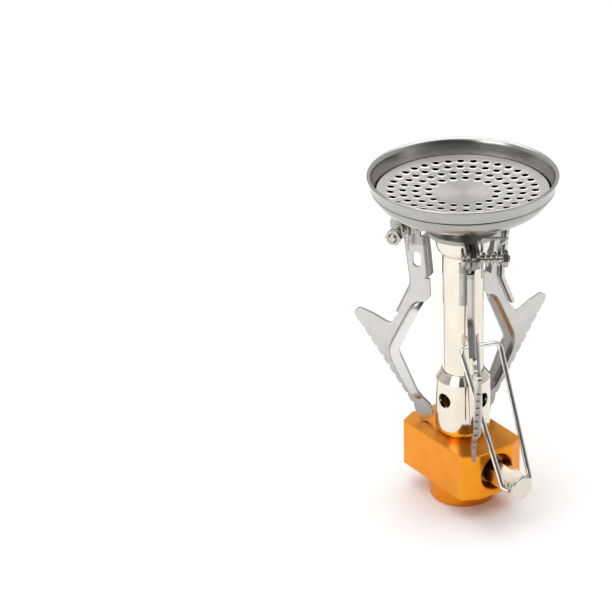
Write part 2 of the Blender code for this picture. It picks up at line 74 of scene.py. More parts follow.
BLOCK_LOW, BLOCK_HIGH = extent("valve_body")
SLEEVE_HIGH = extent("air_sleeve")[1]
TUBE_LOW, TUBE_HIGH = extent("mixing_tube")
NECK_LOW, NECK_HIGH = extent("neck_socket")
BOWL_LOW, BOWL_HIGH = extent("burner_bowl")
PLATE_LOW, PLATE_HIGH = extent("burner_plate")
KNOB_LOW, KNOB_HIGH = extent("control_knob")
GLAND_HIGH = extent("spindle_gland")[1]
SPINDLE_LOW = extent("spindle")[0]
HANDLE_HIGH = extent("wire_handle")[1]
JET_LOW, JET_HIGH = extent("gas_jet")
HANDLE_PIVOT = Vector(joint("handle_fold")["pos_m"]) / MM
SUPPORT_JOINTS = {side: joint(f"{side}_support_fold") for side in ("left", "right", "front")}
UPRIGHT_FOLD_DEG = SUPPORT_JOINTS["left"]["range_deg"][1]

# The burner plate sinks by this much at its middle and rises with the radius squared
PLATE_SINK = 0.42
PLATE_DISH = 0.75 / 19.0 ** 2


# ---------------------------------------------------------------- node materials

# Most of a noise texture lies between these two values
NOISE_RANGE = (0.3, 0.7)
# Near black for soot and painted shade in the burner's hollows; dark brown for painted shade on the
# supports and their darkening towards the bottom
SOOT_AND_SHADE = (0.03, 0.028, 0.026)
DARK_BROWN = (0.16, 0.145, 0.13)


def set_stops(ramp, stops):
    """Give a colour ramp its (position, colour) stops."""
    points = ramp.elements
    while len(points) < len(stops):
        points.new(0.5)
    for point, (position, colour) in zip(points, stops):
        point.position = position
        point.color = (*colour, 1.0)


def set_inputs(node, **values):
    """Set a node's inputs; an underscore in an input's name stands for a space."""
    for label, value in values.items():
        node.inputs[label.replace("_", " ")].default_value = value


class Shader:
    """A Principled material that is put together step by step."""

    def __init__(self, name, colour, roughness, metallic):
        self.material = bpy.data.materials.new(name)
        self.material.use_nodes = True
        self.nodes = self.material.node_tree.nodes
        self.links = self.material.node_tree.links
        self.main = self.nodes["Principled BSDF"]
        set_inputs(self.main, Base_Color=(*colour, 1.0), Roughness=roughness, Metallic=metallic)
        source = self.node("TexCoord").outputs
        self.place = source["Object"]
        self.facing = source["Normal"]

    def link(self, output, target):
        self.links.new(output, target)
        return self

    def feed(self, values, sockets):
        """Set or link a node's inputs; a missing value leaves its input as it is."""
        for value, socket in zip(values, sockets):
            if isinstance(value, (int, float)):
                socket.default_value = value
            elif isinstance(value, tuple):
                socket.default_value = (*value, 1.0)
            elif value is not None:
                self.link(value, socket)

    def node(self, kind, **inputs):
        """A new shader node with some of its inputs set."""
        node = self.nodes.new(f"ShaderNode{kind}")
        set_inputs(node, **inputs)
        return node

    def scaled(self, x, y, z):
        """Object coordinates in millimetres, stretched along each axis."""
        node = self.node("Mapping", Scale=(x / MM, y / MM, z / MM))
        self.link(self.place, node.inputs["Vector"])
        return node.outputs["Vector"]

    def split(self, axis, vector=None):
        """One object coordinate in millimetres, or one part of another vector."""
        node = self.node("SeparateXYZ")
        self.link(vector or self.scaled(1, 1, 1), node.inputs["Vector"])
        return node.outputs[axis]

    def radius(self):
        squares = [self.math("POWER", self.split(axis), 2.0) for axis in ("X", "Y")]
        return self.math("SQRT", self.math("ADD", *squares))

    def round_the_axis(self):
        """Coordinates that only change with radius and height, for turned or spun marks."""
        join = self.node("CombineXYZ")
        self.link(self.radius(), join.inputs["X"])
        self.link(self.split("Z"), join.inputs["Y"])
        return join.outputs["Vector"]

    def math(self, operation, first, second=None, third=None):
        node = self.node("Math")
        node.operation = operation
        self.feed((first, second, third), node.inputs)
        return node.outputs["Value"]

    def noise(self, vector, scale, detail=3.0, roughness=0.55):
        node = self.node("TexNoise", Scale=scale, Detail=detail, Roughness=roughness)
        self.link(vector, node.inputs["Vector"])
        return node.outputs["Fac"]

    def grain(self, scale, detail, roughness):
        """A noise that is even in all directions."""
        return self.noise(self.scaled(1, 1, 1), scale, detail, roughness)

    def ramp(self, factor, *stops):
        """A colour ramp through (position, colour) stops."""
        node = self.node("ValToRGB")
        set_stops(node.color_ramp, stops)
        self.link(factor, node.inputs["Fac"])
        return node.outputs["Color"]

    def between(self, factor, low, high):
        """A value that follows a noise from low to high."""
        start, end = NOISE_RANGE
        node = self.node("MapRange", From_Min=start, From_Max=end, To_Min=low, To_Max=high)
        self.link(factor, node.inputs["Value"])
        return node.outputs["Result"]

    def mixed(self, factor, first, second):
        """The first colour, turning into the second as the factor goes from 0 to 1."""
        node = self.node("Mix")
        node.data_type = "RGBA"
        self.feed((factor, first, second), (node.inputs[0], node.inputs[6], node.inputs[7]))
        return node.outputs[2]

    def bump(self, height, strength, depth, after=None):
        node = self.node("Bump", Strength=strength, Distance=depth * MM)
        self.link(height, node.inputs["Height"])
        if after is not None:
            self.link(after, node.inputs["Normal"])
        return node.outputs["Normal"]

    def colour(self, output):
        return self.link(output, self.main.inputs["Base Color"])

    def painted(self):
        """The colour that is linked so far."""
        return self.main.inputs["Base Color"].links[0].from_socket

    def rough(self, output):
        return self.link(output, self.main.inputs["Roughness"])

    def normal(self, output):
        return self.link(output, self.main.inputs["Normal"])

    def brushed_round_z(self, amount):
        set_inputs(self.main, Anisotropic=amount)
        tangent = self.node("Tangent")
        tangent.direction_type = "RADIAL"
        tangent.axis = "Z"
        return self.link(tangent.outputs["Tangent"], self.main.inputs["Tangent"])


def polished_nickel(name):
    """Mirror-like warm plate: faint polishing lines, a little haze and a few smudges."""
    shade = Shader(name, (0.88, 0.83, 0.75), 0.08, 1.0)
    lines = shade.noise(shade.round_the_axis(), 9.0, 4.0)
    smudge = shade.noise(shade.scaled(1, 1, 0.5), 0.22, 4.0, 0.6)
    shade.colour(shade.ramp(smudge, (0.3, (0.74, 0.672, 0.562)), (0.7, (0.82, 0.757, 0.66))))
    shade.rough(shade.between(smudge, 0.05, 0.15))
    shade.normal(shade.bump(lines, 0.12, 0.02))
    return shade.material


def spun_steel(name, light, dark, roughness):
    """Spun sheet with painted shade on the inner side of its flared rim, and soot with painted shade on
    the floor under the plate.
    """
    shade = spun_shader(name, light, dark, roughness)
    # Painted shade on the inner side of the flared rim, to tone down the light it catches
    high = shade.math("GREATER_THAN", shade.split("Z"), BOWL_HIGH.z - 1.5)
    inside = shade.math("LESS_THAN", shade.radius(), BOWL_HIGH.x - 0.4)
    flared = shade.math("MULTIPLY", high, inside)
    steel = shade.mixed(shade.math("MULTIPLY", flared, 0.8), shade.painted(), (0.45, 0.445, 0.43))
    # Soot and painted shade on the upward faces below the plate
    below = shade.math("LESS_THAN", shade.split("Z"), PLATE_LOW.z)
    upwards = shade.math("GREATER_THAN", shade.split("Z", shade.facing), 0.1)
    shade.colour(shade.mixed(shade.math("MULTIPLY", below, upwards), steel, SOOT_AND_SHADE))
    return shade.material


def port_plate_steel(name, light, dark, roughness):
    """Spun sheet whose port walls get soot and painted shade, with a painted highlight on the burrs
    round the ports.
    """
    shade = spun_shader(name, light, dark, roughness)
    dish = shade.math("MULTIPLY", shade.math("POWER", shade.radius(), 2.0), PLATE_DISH)
    face = shade.math("ADD", dish, PLATE_HIGH.z - PLATE_SINK)
    above = shade.math("SUBTRACT", shade.split("Z"), face)
    # Painted highlight on the raised burrs round the ports
    burr = shade.math("GREATER_THAN", above, 0.04)
    # Soot and painted shade on the port walls
    wall = shade.math("LESS_THAN", above, -0.03)
    steel = shade.mixed(burr, shade.painted(), (0.68, 0.665, 0.645))
    shade.colour(shade.mixed(wall, steel, SOOT_AND_SHADE))
    return shade.material


def spun_shader(name, light, dark, roughness):
    """Fine rings and broader bands from the spinning tool under a soft mottle."""
    shade = Shader(name, light, roughness, 1.0)
    rings = shade.noise(shade.round_the_axis(), 5.0, 6.0, 0.7)
    fine = shade.noise(shade.round_the_axis(), 22.0, 3.0, 0.6)
    bands = shade.noise(shade.round_the_axis(), 0.8, 2.0, 0.5)
    streaks = shade.noise(shade.scaled(0.16, 0.16, 2.4), 1.3, 4.0, 0.6)
    mottle = shade.grain(0.2, 3.0, 0.5)
    grain = shade.grain(6.0, 3.0, 0.7)
    tone = shade.mixed(shade.between(rings, 0.0, 0.7), light, dark)
    tone = shade.mixed(shade.between(bands, 0.0, 0.5), tone, dark)
    tone = shade.mixed(shade.between(streaks, 0.0, 0.4), tone, dark)
    tone = shade.mixed(shade.between(mottle, 0.0, 0.18), tone, dark)
    shade.colour(tone)
    shade.rough(shade.between(rings, roughness - 0.04, roughness + 0.06))
    first = shade.bump(rings, 0.25, 0.05)
    second = shade.bump(fine, 0.18, 0.02, first)
    shade.normal(shade.bump(grain, 0.08, 0.02, second))
    return shade.brushed_round_z(0.5)


# Where a support's painted shade, painted highlight and darkening lie, in its own axes: y along the
# pivot and z up, in millimetres.
# The lip's slope has a middle and a half width, the heel's fade a gain per millimetre and an offset.
FLANGE_Y = -0.62
CUT_EDGE_Y = 0.4
LIP_SLOPE_Y = (0.8, 0.25)
LIP_FACE_Y = 1.55
# Painted shade from the bowl covers the sheet above this height
BOWL_SHADE_Z = -5.0
HEEL_FADE = (-0.026, -0.87)


def satin_steel(name, light, dark):
    """Tumbled stamped sheet: fine grain and short scratches, painted shade where a flange faces the
    tube, in the lip's crease, along the cut edges and under the bowl, a painted highlight on the raised
    lip, and darker towards the bottom.
    """
    shade = Shader(name, light, 0.3, 1.0)
    cloud = shade.grain(0.22, 3.0, 0.5)
    pits = shade.grain(4.5, 4.0, 0.7)
    scratch = shade.noise(shade.scaled(4, 4, 0.25), 1.6, 4.0, 0.6)
    tone = shade.mixed(shade.between(cloud, 0.0, 0.25), light, dark)
    tone = shade.mixed(shade.between(pits, 0.0, 0.4), tone, dark)
    across = shade.split("Y")
    # Painted shade on the flange faces that turn towards the tube
    folded = shade.math("LESS_THAN", across, FLANGE_Y)
    towards_tube = shade.math("LESS_THAN", shade.split("X", shade.facing), -0.5)
    shaded_flange = shade.math("MULTIPLY", folded, towards_tube)
    # Painted shade along the cut edges, in the lip's crease and on the part under the bowl
    edge = shade.math("LESS_THAN", shade.math("ABSOLUTE", across), CUT_EDGE_Y)
    crease = shade.math("COMPARE", across, *LIP_SLOPE_Y)
    bowl_shade = shade.math("GREATER_THAN", shade.split("Z"), BOWL_SHADE_Z)
    # Painted highlight on the raised face of the lip
    raised = shade.math("GREATER_THAN", across, LIP_FACE_Y)
    # Darker towards the bottom of the sheet
    heel = shade.math("MULTIPLY_ADD", shade.split("Z"), *HEEL_FADE)
    tone = shade.mixed(heel, tone, DARK_BROWN)
    for mask, amount in ((edge, 0.45), (crease, 0.65), (bowl_shade, 0.35)):
        tone = shade.mixed(shade.math("MULTIPLY", mask, amount), tone, DARK_BROWN)
    tone = shade.mixed(shade.math("MULTIPLY", shaded_flange, 0.85), tone, (0.05, 0.045, 0.04))
    shade.colour(shade.mixed(shade.math("MULTIPLY", raised, 0.5), tone, (0.80, 0.79, 0.77)))
    shade.rough(shade.between(cloud, 0.24, 0.32))
    first = shade.bump(pits, 0.22, 0.02)
    shade.normal(shade.bump(scratch, 0.15, 0.015, first))
    return shade.material


def bright_steel(name, light, dark):
    """Drawn wire, plated fasteners and the plated knob."""
    shade = Shader(name, light, 0.16, 1.0)
    draw = shade.grain(2.2, 4.0, 0.6)
    spots = shade.grain(9.0, 3.0, 0.6)
    shade.colour(shade.ramp(draw, (0.3, dark), (0.65, light)))
    shade.rough(shade.between(spots, 0.1, 0.26))
    shade.normal(shade.bump(spots, 0.1, 0.02))
    return shade.material


def anodised(name):
    """Orange-gold anodised aluminium with a fine blasted grain and milling lines."""
    shade = Shader(name, (0.88, 0.32, 0.02), 0.3, 1.0)
    grain = shade.grain(7.0, 3.0, 0.6)
    milling = shade.noise(shade.scaled(0.25, 0.25, 6.0), 1.5, 3.0, 0.6)
    tone = shade.grain(0.12, 3.0, 0.5)
    colour = shade.ramp(tone, (0.3, (0.84, 0.28, 0.016)), (0.7, (0.91, 0.35, 0.025)))
    shade.colour(shade.mixed(shade.between(grain, 0.0, 0.12), colour, (0.62, 0.19, 0.012)))
    shade.rough(shade.between(grain, 0.27, 0.37))
    first = shade.bump(grain, 0.12, 0.02)
    shade.normal(shade.bump(milling, 0.08, 0.02, first))
    return shade.material


def brass(name, light, dark):
    shade = Shader(name, light, 0.28, 1.0)
    lines = shade.grain(5.0, 4.0, 0.6)
    shade.colour(shade.ramp(lines, (0.3, dark), (0.7, light)))
    shade.rough(shade.between(lines, 0.2, 0.4))
    shade.normal(shade.bump(lines, 0.15, 0.02))
    return shade.material


def rubber(name):
    shade = Shader(name, (0.02, 0.02, 0.02), 0.65, 0.0)
    grain = shade.grain(8.0, 3.0, 0.6)
    shade.rough(shade.between(grain, 0.5, 0.75))
    shade.normal(shade.bump(grain, 0.2, 0.02))
    return shade.material


# ---------------------------------------------------------------- outlines and profiles

def rounded(corners, steps=6, closed=False):
    """Corners as (x, y) or (x, y, radius), with each given radius drawn as an arc."""
    points = []
    count = len(corners)
    for index, corner in enumerate(corners):
        here = Vector(corner[:2])
        radius = corner[2] if len(corner) == 3 else 0.0
        at_end = not closed and index in (0, count - 1)
        if radius == 0.0 or at_end:
            points.append(tuple(here))
            continue
        back = Vector(corners[index - 1][:2]) - here
        ahead = Vector(corners[(index + 1) % count][:2]) - here
        half = back.angle(ahead) / 2
        reach = min(radius / math.tan(half), 0.49 * back.length, 0.49 * ahead.length)
        true_radius = reach * math.tan(half)
        bisector = (back.normalized() + ahead.normalized()).normalized()
        centre = here + bisector * (true_radius / math.sin(half))
        start = here + back.normalized() * reach - centre
        end = here + ahead.normalized() * reach - centre
        sweep = start.angle_signed(end)
        for step in range(steps + 1):
            turn = Matrix.Rotation(-sweep * step / steps, 2)
            points.append(tuple(centre + turn @ start))
    return points


def smooth_line(points, steps):
    """A smooth curve through points, by one cubic span between each pair."""
    whole = [Vector((*point, 0.0)) for point in points]
    result = []
    for index in range(len(whole) - 1):
        before = whole[max(index - 1, 0)]
        start = whole[index]
        end = whole[index + 1]
        after = whole[min(index + 2, len(whole) - 1)]
        first = start + (end - before) / 6
        second = end - (after - start) / 6
        span = interpolate_bezier(start, first, second, end, steps + 1)
        result += [tuple(point[:2]) for point in span[:-1]]
    result.append(tuple(whole[-1][:2]))
    return result


def arc(centre, radius, first_deg, last_deg, steps):
    """Evenly spaced points on an arc, both ends included."""
    points = []
    for step in range(steps + 1):
        angle = math.radians(first_deg + (last_deg - first_deg) * step / steps)
        points.append((centre[0] + radius * math.cos(angle), centre[1] + radius * math.sin(angle)))
    return points


def round_points(x, y, radius, count):
    """Points evenly spaced all round a circle."""
    angles = [math.tau * index / count for index in range(count)]
    return [(x + radius * math.cos(angle), y + radius * math.sin(angle)) for angle in angles]


def hexagon(corner_radius, first_deg):
    return arc((0.0, 0.0), corner_radius, first_deg, first_deg + 300, 5)


# ---------------------------------------------------------------- mesh helpers

def mesh_from(bm, merge=0.0005):
    """A bmesh drawn in millimetres as a mesh in metres, near points merged and normals outwards."""
    bmesh.ops.remove_doubles(bm, verts=bm.verts, dist=merge)
    bmesh.ops.recalc_face_normals(bm, faces=bm.faces)
    bmesh.ops.scale(bm, vec=(MM, MM, MM), verts=bm.verts)
    mesh = bpy.data.meshes.new("mesh")
    bm.to_mesh(mesh)
    bm.free()
    return mesh


def loop_edges(bm, ring):
    """Edges that join a ring of points."""
    return [bm.edges.new((a, b)) for a, b in zip(ring, ring[1:] + ring[:1])]


def bridge(bm, low, high):
    """Quads between two rings of points."""
    count = len(low)
    for step in range(count):
        following = (step + 1) % count
        bm.faces.new((low[step], low[following], high[following], high[step]))


def turned(profile, segments, closed=True):
    """A profile of (radius, height) points spun round Z; an open one ends on the axis."""
    bm = bmesh.new()
    points = [bm.verts.new((radius, 0.0, height)) for radius, height in profile]
    edges = [bm.edges.new(pair) for pair in zip(points, points[1:])]
    if closed:
        edges.append(bm.edges.new((points[-1], points[0])))
    bmesh.ops.spin(
        bm, geom=points + edges, cent=(0.0, 0.0, 0.0), axis=(0.0, 0.0, 1.0), angle=math.tau,
        steps=segments, use_merge=True,
    )
    return mesh_from(bm)


def extruded(outline, bottom, top):
    bm = bmesh.new()
    face = bm.faces.new([bm.verts.new((x, y, bottom)) for x, y in outline])
    grown = bmesh.ops.extrude_face_region(bm, geom=[face])
    lifted = [item for item in grown["geom"] if isinstance(item, bmesh.types.BMVert)]
    bmesh.ops.translate(bm, vec=(0.0, 0.0, top - bottom), verts=lifted)
    return mesh_from(bm)


def rod(radius, bottom, top, segments):
    return extruded(round_points(0.0, 0.0, radius, segments), bottom, top)


def swept(path, radius, sides):
    """A round wire along a path, with domed ends."""
    points = [Vector(point) for point in path]
    bm = bmesh.new()
    rings = []
    normal = (points[1] - points[0]).orthogonal().normalized()
    frames = []
    for index, point in enumerate(points):
        before = points[max(index - 1, 0)]
        after = points[min(index + 1, len(points) - 1)]
        along = (after - before).normalized()
        normal = (normal - along * normal.dot(along)).normalized()
        frames.append((point, along, normal.copy(), radius))
    for end, sign in ((0, -1), (-1, 1)):
        point, along, across, _ = frames[end]
        caps = []
        for size, reach in ((0.92, 0.25), (0.6, 0.45)):
            caps.append((point + along * sign * radius * reach, along, across, radius * size))
        frames = caps[::-1] + frames if end == 0 else frames + caps
    for point, along, across, size in frames:
        side = along.cross(across)
        ring = []
        for step in range(sides):
            angle = math.tau * step / sides
            offset = across * math.cos(angle) + side * math.sin(angle)
            ring.append(bm.verts.new(point + offset * size))
        rings.append(ring)
    for low, high in zip(rings, rings[1:]):
        bridge(bm, low, high)
    bm.faces.new(reversed(rings[0]))
    bm.faces.new(rings[-1])
    return mesh_from(bm)


def rounded_path(corners, steps):
    """A path through (point, reach) corners, each bend an even curve."""
    path = [Vector(corners[0][0])]
    for before, corner, after in zip(corners, corners[1:], corners[2:]):
        point = Vector(corner[0])
        reach = corner[1]
        start = point + (Vector(before[0]) - point).normalized() * reach
        end = point + (Vector(after[0]) - point).normalized() * reach
        for step in range(steps + 1):
            part = step / steps
            path.append(start * (1 - part) ** 2 + point * 2 * part * (1 - part) + end * part ** 2)
    path.append(Vector(corners[-1][0]))
    return path


def moved(mesh, matrix):
    mesh.transform(matrix)
    return mesh


def lifted_to(z):
    return Matrix.Translation((0.0, 0.0, z * MM))


def toward_spindle(mesh):
    """Turn a piece drawn round Z to lie along the valve spindle."""
    return moved(mesh, lifted_to(HANDLE_PIVOT.z) @ Matrix.Rotation(math.pi / 2, 4, "X"))


def across_sheet(mesh):
    """Turn a piece drawn round Z to lie along a support's pivot."""
    return moved(mesh, Matrix.Rotation(-math.pi / 2, 4, "X"))


def added(name, data):
    """Put a new object in the scene."""
    piece = bpy.data.objects.new(name, data)
    bpy.context.scene.collection.objects.link(piece)
    return piece


def taken_off(piece):
    """Take a working object out of the scene and keep its mesh with the modifiers applied."""
    graph = bpy.context.evaluated_depsgraph_get()
    result = bpy.data.meshes.new_from_object(piece.evaluated_get(graph))
    bpy.data.objects.remove(piece)
    return result


def combine(mesh, tool, operation):
    """Join or cut two closed meshes."""
    body = added("body", mesh)
    cutter = added("cutter", tool)
    boolean = body.modifiers.new("cut", "BOOLEAN")
    boolean.object = cutter
    boolean.operation = operation
    boolean.solver = "EXACT"
    result = taken_off(body)
    bpy.data.objects.remove(cutter)
    return result


def cut(mesh, *tools):
    for tool in tools:
        mesh = combine(mesh, tool, "DIFFERENCE")
    return mesh


def joined(mesh, *tools):
    for tool in tools:
        mesh = combine(mesh, tool, "UNION")
    return mesh


def bevelled(piece, width, angle_deg, segments=3):
    bevel = piece.modifiers.new("edges", "BEVEL")
    bevel.width = width * MM
    bevel.segments = segments
    bevel.limit_method = "ANGLE"
    bevel.angle_limit = math.radians(angle_deg)
    return bevel


def softened(mesh, width, angle_deg=30, segments=3):
    """Round a mesh's sharp edges."""
    piece = added("soft", mesh)
    bevelled(piece, width, angle_deg, segments).miter_outer = "MITER_ARC"
    return taken_off(piece)


def shown(name, mesh, material, body, slot, *nodes, matrix=None, sharp_deg=40):
    """Put a finished piece in the scene in place of the CAD nodes that it stands for."""
    mesh.name = name
    mesh.materials.clear()
    mesh.materials.append(material)
    mesh.shade_smooth()
    mesh.set_sharp_from_angle(angle=math.radians(sharp_deg))
    piece = added(name, mesh)
    if matrix is not None:
        piece.matrix_world = matrix
    weighted = piece.modifiers.new("normals", "WEIGHTED_NORMAL")
    weighted.keep_sharp = True
    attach(piece, body)
    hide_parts(*nodes)
    return piece


# ---------------------------------------------------------------- burner

BOWL_DEPTH = 10.0


def bowl_mesh():
    """A spun dish: throat, curved side, a small step and ridge, a flared lip and the plate's ledge."""
    rim = BOWL_HIGH.x
    top = BOWL_HIGH.z
    throat = TUBE_HIGH.x
    bottom = top - BOWL_DEPTH
    ledge = PLATE_LOW.z - 0.1
    side_points = [
        (14.0, bottom), (17.6, bottom + 0.55), (20.6, bottom + 1.9), (22.5, bottom + 3.8),
        (23.25, top - 4.5),
    ]
    side = smooth_line(side_points, 7)
    outer = rounded([(throat, BOWL_LOW.z), (throat, bottom, 0.9), (14.0, bottom)])[:-1]
    step_points = [
        (23.25, top - 4.5), (22.9, top - 4.25, 0.05), (24.1, top - 4.12, 0.2),
        (23.9, top - 3.5, 0.5), (24.7, top - 1.0),
    ]
    step = rounded(step_points)[1:]
    lip = arc((rim - 0.36, top - 0.36), 0.36, -15, 95, 8)
    flare_points = [
        (rim - 0.55, top - 0.03), (rim - 0.95, top - 0.3), (rim - 1.3, top - 0.9),
        (rim - 1.55, top - 1.8),
    ]
    flare = smooth_line(flare_points, 5)
    inner = [
        (rim - 1.75, top - 2.6), (PLATE_HIGH.x + 0.12, PLATE_HIGH.z + 0.1),
        (PLATE_HIGH.x + 0.12, ledge), (21.4, ledge), (19.8, bottom + 2.5), (17.4, bottom + 1.4),
        (14.0, bottom + 0.9), (throat - 0.8, bottom + 0.9), (throat - 0.8, BOWL_LOW.z),
    ]
    return turned(outer + side + step + lip + flare + inner, FINE_TURN)


# Port rings: radius, number of holes, and the turn of the first hole in degrees
PORT_RINGS = ((8.95, 17, 6.83), (12.3, 23, 2.86), (15.6, 29, 6.64), (18.8, 35, 3.98))
PORT_RADIUS = 0.93
PORT_SIDES = 20
# From the plate inwards to the port: how far out from the port's wall, and how high
PORT_BURR = ((0.42, 0.0), (0.24, 0.07), (0.08, 0.1), (0.0, 0.02))
PLATE_SHEET = 0.4
CENTRE_RINGS = (7.0, 5.6, 4.2, 2.8, 1.4)
CENTRE_SIDES = 48


def port_centres():
    for radius, count, first_deg in PORT_RINGS:
        for index in range(count):
            angle = math.radians(first_deg) + math.tau * index / count
            yield radius * math.cos(angle), radius * math.sin(angle)


def plate_mesh():
    """A slightly dished sheet whose ports each have a raised burr."""
    top = PLATE_HIGH.z
    bottom = top - PLATE_SHEET
    bm = bmesh.new()

    def circle(x, y, radius, z, sides):
        return [bm.verts.new((*point, z)) for point in round_points(x, y, radius, sides)]

    upper = loop_edges(bm, circle(0.0, 0.0, PLATE_HIGH.x - 0.15, top, FINE_TURN))
    lower = loop_edges(bm, circle(0.0, 0.0, PLATE_HIGH.x - 0.15, bottom, FINE_TURN))
    upper_rim = [edge.verts[0] for edge in upper]
    lower_rim = [edge.verts[0] for edge in lower]
    middle = circle(0.0, 0.0, PLATE_HIGH.x, top - 0.12, FINE_TURN)
    middle_low = circle(0.0, 0.0, PLATE_HIGH.x, bottom + 0.12, FINE_TURN)
    for low, high in ((lower_rim, middle_low), (middle_low, middle), (middle, upper_rim)):
        bridge(bm, low, high)
    for x, y in port_centres():
        rings = [circle(x, y, PORT_RADIUS + out, top + rise, PORT_SIDES) for out, rise in PORT_BURR]
        upper += loop_edges(bm, rings[0])
        rings.append(circle(x, y, PORT_RADIUS, bottom, PORT_SIDES))
        lower += loop_edges(bm, rings[-1])
        for high, low in zip(rings, rings[1:]):
            bridge(bm, low, high)
    for side_edges, level, normal in ((upper, top, 1.0), (lower, bottom, -1.0)):
        rings = [circle(0.0, 0.0, radius, level, CENTRE_SIDES) for radius in CENTRE_RINGS]
        edges = side_edges + loop_edges(bm, rings[0])
        for high, low in zip(rings, rings[1:]):
            bridge(bm, low, high)
        bm.faces.new(rings[-1])
        up = (0.0, 0.0, normal)
        bmesh.ops.triangle_fill(bm, use_beauty=True, use_dissolve=False, edges=edges, normal=up)
    for vert in bm.verts:
        vert.co.z += PLATE_DISH * vert.co.xy.length_squared - PLATE_SINK
    return mesh_from(bm)


def neck_mesh():
    bore = TUBE_HIGH.x + 0.1
    radius = NECK_HIGH.x
    low = NECK_LOW.z + 0.8
    high = NECK_HIGH.z
    shoulder = smooth_line([(bore + 0.3, low), (radius - 0.5, low + 0.9), (radius - 0.12, low + 2.0)], 5)
    outer = shoulder + rounded([(radius, low + 3.1), (radius, high, 0.3), (bore, high)])
    return turned([(bore, low)] + outer, MEDIUM_TURN)


def tube_mesh():
    radius = TUBE_HIGH.x
    corners = [
        (radius - 0.7, TUBE_LOW.z), (radius, TUBE_LOW.z, 0.15), (radius, TUBE_HIGH.z, 0.15),
        (radius - 0.7, TUBE_HIGH.z),
    ]
    return turned(rounded(corners, closed=True), MEDIUM_TURN)


AIR_HOLE_RADIUS = 2.1
AIR_HOLE_RISE = 10.9
AIR_HOLE_TURN_DEG = 10.8


def sleeve_mesh():
    """A sleeve that cones in to the tube, with two cross bores for its four air holes."""
    radius = SLEEVE_HIGH.x
    low = BLOCK_HIGH.z + 0.02
    high = SLEEVE_HIGH.z
    band = high - 2.2
    tube = TUBE_HIGH.x
    corners = [
        (radius - 1.3, low), (radius - 0.9, low, 0.3), (radius, low + 1.5, 1.6),
        (radius, band, 0.2), (tube + 0.42, high - 0.05, 0.12), (tube + 0.08, high, 0.08),
        (tube + 0.08, band), (radius - 0.85, band - 1.0), (radius - 0.85, low + 1.5),
    ]
    sleeve = turned(rounded(corners, closed=True), FINE_TURN)
    sideways = Matrix.Rotation(math.pi / 2, 4, "Y")
    for quarter in (0, 90):
        hole = rod(AIR_HOLE_RADIUS, -2 * radius, 2 * radius, SMALL_TURN)
        turn = Matrix.Rotation(math.radians(AIR_HOLE_TURN_DEG + quarter), 4, "Z")
        sleeve = cut(sleeve, moved(hole, lifted_to(low + AIR_HOLE_RISE) @ turn @ sideways))
    return softened(sleeve, 0.12, 50, 2)


def jet_mesh():
    low = JET_LOW.z
    high = JET_HIGH.z
    seat = BLOCK_HIGH.z
    corners = [
        (0.45, low), (2.3, low, 0.2), (2.3, seat + 0.05), (2.75, seat + 0.1, 0.2),
        (2.75, seat + 3.2, 0.4), (1.7, seat + 4.2, 0.3), (1.7, high - 0.8, 0.2),
        (0.85, high, 0.15), (0.45, high),
    ]
    return turned(rounded(corners, closed=True), SMALL_TURN)


# ---------------------------------------------------------------- valve block

BLOCK_DEPTH = 13.3
SOCKET_RADIUS = 5.6
SOCKET_CEILING = 8.8
THREAD_TURNS = 8
THREAD_PITCH = 0.9
THREAD_DEPTH = 0.35
CORNER_CUT_X = 4.6
CORNER_CUT_Y = 2.45
RECESS_RADIUS = 5.05
GLAND_HOLE_RADIUS = 3.95
JET_BORE_RADIUS = 2.6
JET_BORE_FLOOR = 15.9
GLAND_START = -GLAND_HIGH.y
RECESS_FLOOR = GLAND_START + 3.0


def block_mesh():
    """The block and its collar, less the canister socket, the gland's recess and the jet's bore."""
    end = BLOCK_HIGH.y
    top = BLOCK_HIGH.z
    bottom = top - BLOCK_DEPTH
    collar = SLEEVE_HIGH.x + 1.55
    plan = []
    for x_sign, y_sign in ((1, 1), (-1, 1), (-1, -1), (1, -1)):
        side = BLOCK_HIGH.x if x_sign > 0 else -BLOCK_LOW.x
        on_side = (side * x_sign, (end - CORNER_CUT_Y) * y_sign)
        on_end = ((side - CORNER_CUT_X) * x_sign, end * y_sign)
        plan += [on_side, on_end] if x_sign == y_sign else [on_end, on_side]
    block = softened(extruded(plan, bottom, top), 0.3, 20)
    skirt = [(0.0, 0.0), (collar, 0.0, 0.5), (collar, bottom + 1.0), (0.0, bottom + 1.0)]
    block = joined(block, turned(rounded(skirt), MEDIUM_TURN, closed=False))
    socket = SOCKET_RADIUS
    threads = []
    for turn_index in range(THREAD_TURNS):
        height = 0.8 + turn_index * THREAD_PITCH
        threads += [(socket, height), (socket + THREAD_DEPTH, height + THREAD_PITCH / 2)]
    bore = [(0.0, -1.0), (socket + 1.4, -1.0), (socket + 0.6, 0.25), (socket, 0.8)] + threads[1:]
    bore += [(socket, SOCKET_CEILING), (0.0, SOCKET_CEILING)]
    entry = -BLOCK_LOW.y
    mouth = [
        (0.0, GLAND_START), (GLAND_HOLE_RADIUS, GLAND_START), (GLAND_HOLE_RADIUS, RECESS_FLOOR),
        (RECESS_RADIUS, RECESS_FLOOR), (RECESS_RADIUS, entry - 0.35),
        (RECESS_RADIUS + 0.9, entry + 0.55), (0.0, entry + 0.55),
    ]
    jet_bore = rod(JET_BORE_RADIUS, JET_BORE_FLOOR, top + 1.0, SMALL_TURN)
    thread = turned(bore, MEDIUM_TURN, closed=False)
    return cut(block, thread, toward_spindle(turned(mouth, MEDIUM_TURN, closed=False)), jet_bore)


